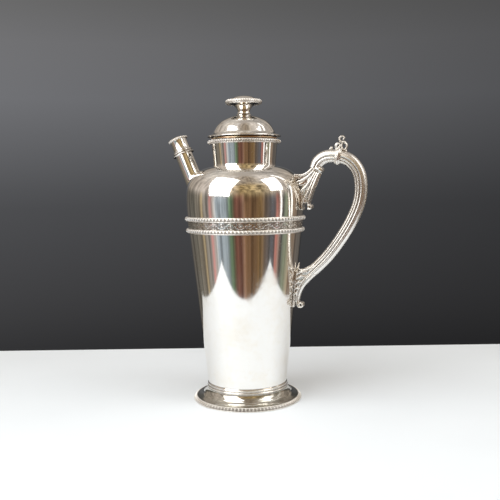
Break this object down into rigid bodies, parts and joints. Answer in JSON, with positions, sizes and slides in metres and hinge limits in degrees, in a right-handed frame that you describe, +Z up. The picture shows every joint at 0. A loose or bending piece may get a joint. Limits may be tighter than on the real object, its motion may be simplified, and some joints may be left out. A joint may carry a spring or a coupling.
{
  "type": "cocktail jug",
  "caption": "Silver-plated serving jug with a tapered body, domed lift-out lid, upright capped spout and cast loop handle.",
  "frame": {"origin": "middle of the footprint box, on the surface that the foot stands on; the vessel's own axis is 20.75 mm towards -X", "axes": "+Z up along the vessel's axis, +X towards the handle, -X towards the spout, handle and spout in the XZ plane"},
  "size_m": [0.2044, 0.1214, 0.305],
  "materials": {
    "silver_plate": "polished silver plate with a thin warm tarnish",
    "chased_silver": "struck and chased silver plate, tarnished in its hollows",
    "inner_plate": "thin plate worn to the brown base metal",
    "cork": "matt cork"
  },
  "bodies": {
    "vessel": {"tapered_body": "silver_plate", "frieze_band": "chased_silver", "base_disc": "inner_plate", "shoulder_shell": "silver_plate", "neck_tube": "silver_plate", "neck_rim_wire": "chased_silver", "lower_band_wire": "chased_silver", "upper_band_wire": "chased_silver", "foot_border_wire": "chased_silver", "foot_plate": "silver_plate", "foot_lower_ring": "silver_plate", "foot_upper_ring": "silver_plate", "foot_groove_ring": "silver_plate", "spout_tube": "silver_plate", "spout_nozzle": "silver_plate", "spout_collar": "silver_plate", "handle_bar": "silver_plate", "handle_collar": "silver_plate", "thumb_scroll": "silver_plate", "handle_upper_leaf": "chased_silver", "handle_lower_leaf": "chased_silver"},
    "lid_plug": {"lid_bezel": "inner_plate"},
    "lid": {"lid_dome": "silver_plate", "knob_stem": "silver_plate", "knob_underplate": "silver_plate", "knob_crown": "silver_plate", "knob_rim_wire": "chased_silver", "knob_stud": "inner_plate", "knob_washer": "inner_plate", "knob_nut": "inner_plate"},
    "cap_liner": {"cap_cork_sleeve": "cork"},
    "cap": {"cap_lower_ring": "silver_plate", "cap_skirt": "silver_plate", "cap_top": "silver_plate", "cap_rim_wire": "chased_silver"}
  },
  "joints": [
    {"name": "lid_lift", "type": "slide", "parent": "vessel", "child": "lid_plug", "axis": [0, 0, 1], "range_m": [0, 0.1]},
    {"name": "lid_turn", "type": "hinge", "parent": "lid_plug", "child": "lid", "pos_m": [-0.02075, 0, 0.2635], "axis": [0, 0, 1], "continuous": true},
    {"name": "cap_pull", "type": "slide", "parent": "vessel", "child": "cap_liner", "axis": [-0.3778, 0, 0.9259], "range_m": [0, 0.035]},
    {"name": "cap_turn", "type": "hinge", "parent": "cap_liner", "child": "cap", "pos_m": [-0.08941, 0, 0.25635], "axis": [-0.3778, 0, 0.9259], "continuous": true}
  ]
}
